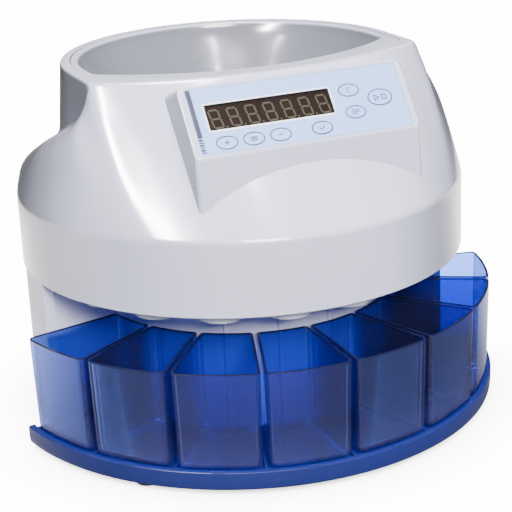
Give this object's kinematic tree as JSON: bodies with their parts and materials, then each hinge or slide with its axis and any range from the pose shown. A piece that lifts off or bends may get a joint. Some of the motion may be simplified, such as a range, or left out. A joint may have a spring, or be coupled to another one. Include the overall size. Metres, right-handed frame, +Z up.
{
  "type": "coin sorting machine",
  "caption": "Desktop coin counter and sorter with a top hopper, a sloped control console, a turning sorting disc and a fan of lift-out clear cups on a curved tray.",
  "frame": {"origin": "on the floor under the feet, in the middle of the whole machine's width and depth; the sorting disc's upright axis is at X 0, Y 0.0109", "axes": "+Z up; the console and the fan of cups face -Y; +X is to the right of somebody facing the console"},
  "size_m": [0.3558, 0.339, 0.2523],
  "materials": {
    "housing_grey": "moulded light grey ABS, glossy",
    "bowl_grey": "moulded mid grey ABS, glossy",
    "column_grey": "moulded light grey ABS, satin",
    "base_grey": "moulded grey, matt",
    "tray_blue": "opaque blue, moulded",
    "cup_blue": "clear blue polystyrene",
    "white_plastic": "moulded off-white",
    "overlay_blue": "printed pale blue foil",
    "smoked_window": "smoked plastic",
    "led_module": "dark module with unlit digits",
    "circuit_board": "green board",
    "steel": "brushed",
    "zinc_steel": "zinc plated",
    "cast_metal": "die cast",
    "black_plastic": "moulded black",
    "rubber": "matt",
    "transformer": "varnished laminations"
  },
  "bodies": {
    "root": {"upper_housing": "housing_grey", "hopper_bowl": "bowl_grey", "lower_housing": "column_grey", "base_plate": "base_grey", "cup_tray": "tray_blue", "chute_block": "white_plastic", "sorting_plate": "steel", "coin_guide_ring": "white_plastic", "bearing_housing": "cast_metal", "lower_bearing": "steel", "upper_bearing": "steel", "drive_belt": "rubber", "gear_motor": "steel", "motor_bracket": "zinc_steel", "sensor_board": "circuit_board", "main_board": "circuit_board", "power_supply": "transformer", "mains_inlet": "black_plastic", "switch_body": "black_plastic", "display_cable": "black_plastic", "keypad_overlay": "overlay_blue", "display_window": "smoked_window", "led_display": "led_module", "display_board": "circuit_board", "foot_front_left": "rubber", "foot_front_right": "rubber", "foot_rear_left": "rubber", "foot_rear_right": "rubber", "base_screw_1": "zinc_steel", "base_screw_2": "zinc_steel", "base_screw_3": "zinc_steel", "base_screw_4": "zinc_steel"},
    "rotor": {"main_shaft": "steel", "rotor_disc": "black_plastic", "feed_disc": "rubber", "driven_pulley": "black_plastic"},
    "motor_drive": {"motor_pulley": "steel"},
    "rocker": {"power_rocker": "black_plastic"},
    "cup_1": {"coin_cup_1": "cup_blue"},
    "cup_2": {"coin_cup_2": "cup_blue"},
    "cup_3": {"coin_cup_3": "cup_blue"},
    "cup_4": {"coin_cup_4": "cup_blue"},
    "cup_5": {"coin_cup_5": "cup_blue"},
    "cup_6": {"coin_cup_6": "cup_blue"},
    "cup_7": {"coin_cup_7": "cup_blue"},
    "cup_8": {"coin_cup_8": "cup_blue"},
    "key_plus": {"key_plus": "overlay_blue"},
    "key_batch": {"key_batch": "overlay_blue"},
    "key_minus": {"key_minus": "overlay_blue"},
    "key_set": {"key_set": "overlay_blue"},
    "key_clear": {"key_clear": "overlay_blue"},
    "key_report": {"key_report": "overlay_blue"},
    "key_start_stop": {"key_start_stop": "overlay_blue"}
  },
  "joints": [
    {"name": "rotor_spin", "type": "hinge", "parent": "root", "child": "rotor", "pos_m": [0, 0.0109, 0.146], "axis": [0, 0, 1], "continuous": true},
    {"name": "motor_spin", "type": "hinge", "parent": "root", "child": "motor_drive", "pos_m": [0, 0.0729, 0.107], "axis": [0, 0, 1], "continuous": true},
    {"name": "power_rocker_tilt", "type": "hinge", "parent": "root", "child": "rocker", "pos_m": [0.022, 0.1599, 0.04], "axis": [1, 0, 0], "range_deg": [-16, 0]},
    {"name": "key_plus_press", "type": "slide", "parent": "root", "child": "key_plus", "axis": [0, 0.8007, -0.599], "range_m": [0, 0.0005]},
    {"name": "key_batch_press", "type": "slide", "parent": "root", "child": "key_batch", "axis": [0, 0.8007, -0.599], "range_m": [0, 0.0005]},
    {"name": "key_minus_press", "type": "slide", "parent": "root", "child": "key_minus", "axis": [0, 0.8007, -0.599], "range_m": [0, 0.0005]},
    {"name": "key_set_press", "type": "slide", "parent": "root", "child": "key_set", "axis": [0, 0.8007, -0.599], "range_m": [0, 0.0005]},
    {"name": "key_clear_press", "type": "slide", "parent": "root", "child": "key_clear", "axis": [0, 0.8007, -0.599], "range_m": [0, 0.0005]},
    {"name": "key_report_press", "type": "slide", "parent": "root", "child": "key_report", "axis": [0, 0.8007, -0.599], "range_m": [0, 0.0005]},
    {"name": "key_start_stop_press", "type": "slide", "parent": "root", "child": "key_start_stop", "axis": [0, 0.8007, -0.599], "range_m": [0, 0.0005]},
    {"name": "cup_1_lift", "type": "slide", "parent": "root", "child": "cup_1", "axis": [-0.8232, -0.3192, 0.4695], "range_m": [0, 0.08]},
    {"name": "cup_2_lift", "type": "slide", "parent": "root", "child": "cup_2", "axis": [-0.6679, -0.5775, 0.4695], "range_m": [0, 0.08]},
    {"name": "cup_3_lift", "type": "slide", "parent": "root", "child": "cup_3", "axis": [-0.4347, -0.7686, 0.4695], "range_m": [0, 0.08]},
    {"name": "cup_4_lift", "type": "slide", "parent": "root", "child": "cup_4", "axis": [-0.1507, -0.87, 0.4695], "range_m": [0, 0.08]},
    {"name": "cup_5_lift", "type": "slide", "parent": "root", "child": "cup_5", "axis": [0.1507, -0.87, 0.4695], "range_m": [0, 0.08]},
    {"name": "cup_6_lift", "type": "slide", "parent": "root", "child": "cup_6", "axis": [0.4347, -0.7686, 0.4695], "range_m": [0, 0.08]},
    {"name": "cup_7_lift", "type": "slide", "parent": "root", "child": "cup_7", "axis": [0.6679, -0.5775, 0.4695], "range_m": [0, 0.08]},
    {"name": "cup_8_lift", "type": "slide", "parent": "root", "child": "cup_8", "axis": [0.8232, -0.3192, 0.4695], "range_m": [0, 0.08]}
  ],
  "couplings": [
    {"joint": "motor_spin", "follows": "rotor_spin", "ratio": 3.2}
  ]
}
